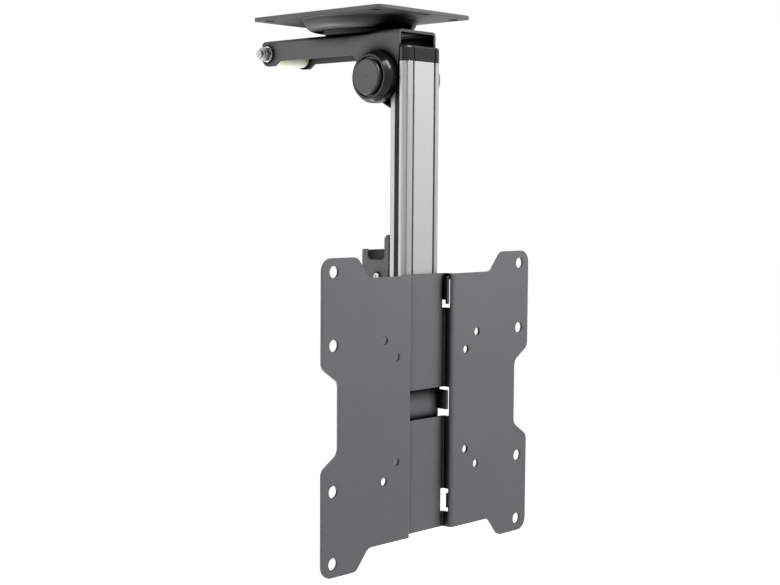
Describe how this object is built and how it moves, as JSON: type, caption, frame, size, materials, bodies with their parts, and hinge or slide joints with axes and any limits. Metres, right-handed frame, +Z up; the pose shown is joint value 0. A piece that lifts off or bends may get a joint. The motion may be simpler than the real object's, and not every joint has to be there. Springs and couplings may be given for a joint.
{
  "type": "tv ceiling mount",
  "caption": "Fold-up ceiling mount: a swivelling channel arm, an aluminium column that folds up under it, and a folded steel plate with screen mounting holes.",
  "frame": {"origin": "centre of the ceiling plate's top face, on the swivel axis", "axes": "+Z up through the ceiling, -Y towards the viewer of the screen, +X to that viewer's right"},
  "size_m": [0.2216, 0.1652, 0.3938],
  "materials": {
    "black_steel": "fine-textured black powder coat",
    "anodised_aluminium": "matt silver anodised",
    "black_plastic": "satin moulded plastic",
    "cream_nylon": "smooth cream nylon",
    "zinc_steel": "bright zinc plating"
  },
  "bodies": {
    "ceiling": {"ceiling_plate": "black_steel", "glide_disc": "black_plastic", "thrust_disc": "black_plastic", "swivel_washer": "zinc_steel", "swivel_nut": "zinc_steel", "swivel_bolt": "zinc_steel"},
    "arm": {"arm_channel": "black_steel", "roller_washers": "zinc_steel", "roller_bolt": "zinc_steel", "roller_nut": "zinc_steel", "pivot_washers": "zinc_steel", "disc_springs": "zinc_steel", "pivot_nut": "zinc_steel", "pivot_bolt": "zinc_steel", "friction_washers": "black_plastic", "pivot_housing_left": "black_plastic", "pivot_housing_right": "black_plastic", "pivot_cover_left": "black_plastic", "pivot_cover_right": "black_plastic"},
    "roller": {"nylon_roller": "cream_nylon"},
    "column": {"column_profile": "anodised_aluminium", "cable_cover": "anodised_aluminium", "side_strip_left": "black_plastic", "side_strip_right": "black_plastic", "top_cap": "black_plastic", "bottom_cap": "black_plastic", "hinge_bracket": "black_steel", "hinge_sleeve": "zinc_steel", "tv_plate": "black_steel", "carrier_bracket": "black_steel", "carrier_plate": "black_steel", "catch_base": "black_steel", "catch_pin": "zinc_steel", "catch_pin_nut": "zinc_steel", "slot_nut_plates": "zinc_steel", "bracket_screws": "zinc_steel"},
    "catch": {"catch": "black_steel", "catch_spring": "zinc_steel"}
  },
  "joints": [
    {"name": "swivel", "type": "hinge", "parent": "ceiling", "child": "arm", "pos_m": [0, 0, 0], "axis": [0, 0, 1], "continuous": true},
    {"name": "fold", "type": "hinge", "parent": "arm", "child": "column", "pos_m": [0, -0.0375, -0.0477], "axis": [1, 0, 0], "range_deg": [0, 90]},
    {"name": "roller_spin", "type": "hinge", "parent": "arm", "child": "roller", "pos_m": [0, 0.0819, -0.0243], "axis": [1, 0, 0], "continuous": true},
    {"name": "catch_release", "type": "hinge", "parent": "column", "child": "catch", "pos_m": [0, -0.0355, -0.1923], "axis": [-1, 0, 0], "range_deg": [0, 20], "stiffness_Nm_per_rad": 0.4, "springref_deg": -34.38}
  ]
}
